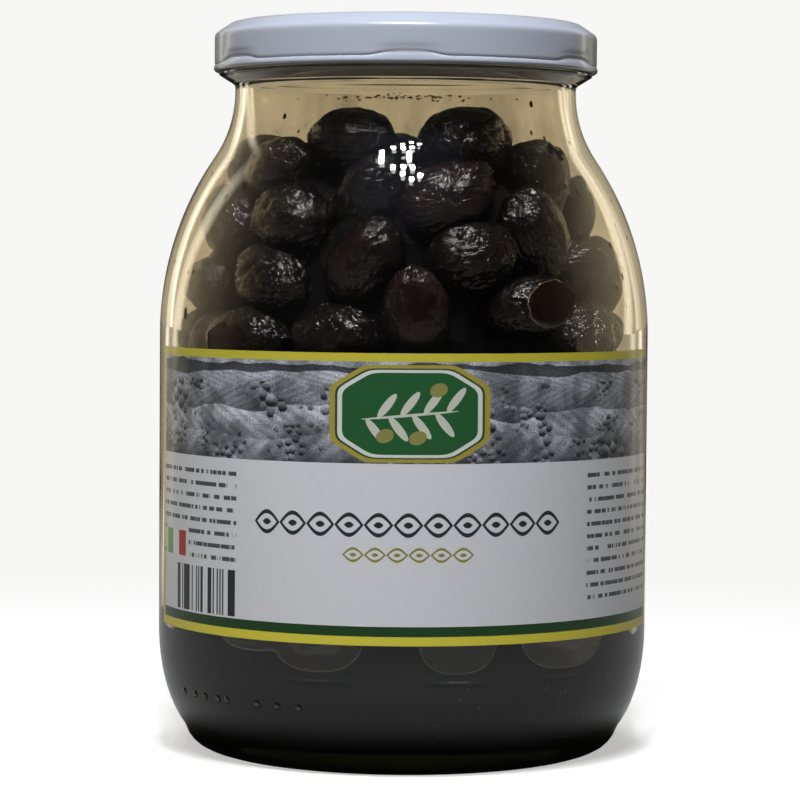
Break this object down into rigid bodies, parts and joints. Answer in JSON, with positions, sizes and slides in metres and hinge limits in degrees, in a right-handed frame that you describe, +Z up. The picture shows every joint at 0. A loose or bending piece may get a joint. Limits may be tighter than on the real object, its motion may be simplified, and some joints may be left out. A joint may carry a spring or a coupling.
{
  "type": "jar of olives",
  "caption": "Shut glass jar with a soft shoulder, a rounded heel, a white twist-off lid and a wrap-round paper label, full of whole black olives heaped unevenly up to the neck.",
  "frame": {"origin": "middle of the jar's round foot, on the surface it stands on", "axes": "+Z up along the jar's axis; -Y is the way the label faces; +X is to the right of someone who looks at the label"},
  "size_m": [0.1088, 0.1093, 0.1613],
  "materials": {
    "jar_glass": "blown soda-lime glass, clear with a faint warm cast from the oil film inside",
    "lid_enamel": "glossy white enamel on pressed tinplate",
    "label_paper": "coated printed paper, satin",
    "olive_skin": "wrinkled oily black skin"
  },
  "bodies": {
    "root": {"glass_jar": "jar_glass", "lid": "lid_enamel", "label": "label_paper", "olives": "olive_skin"}
  },
  "joints": []
}
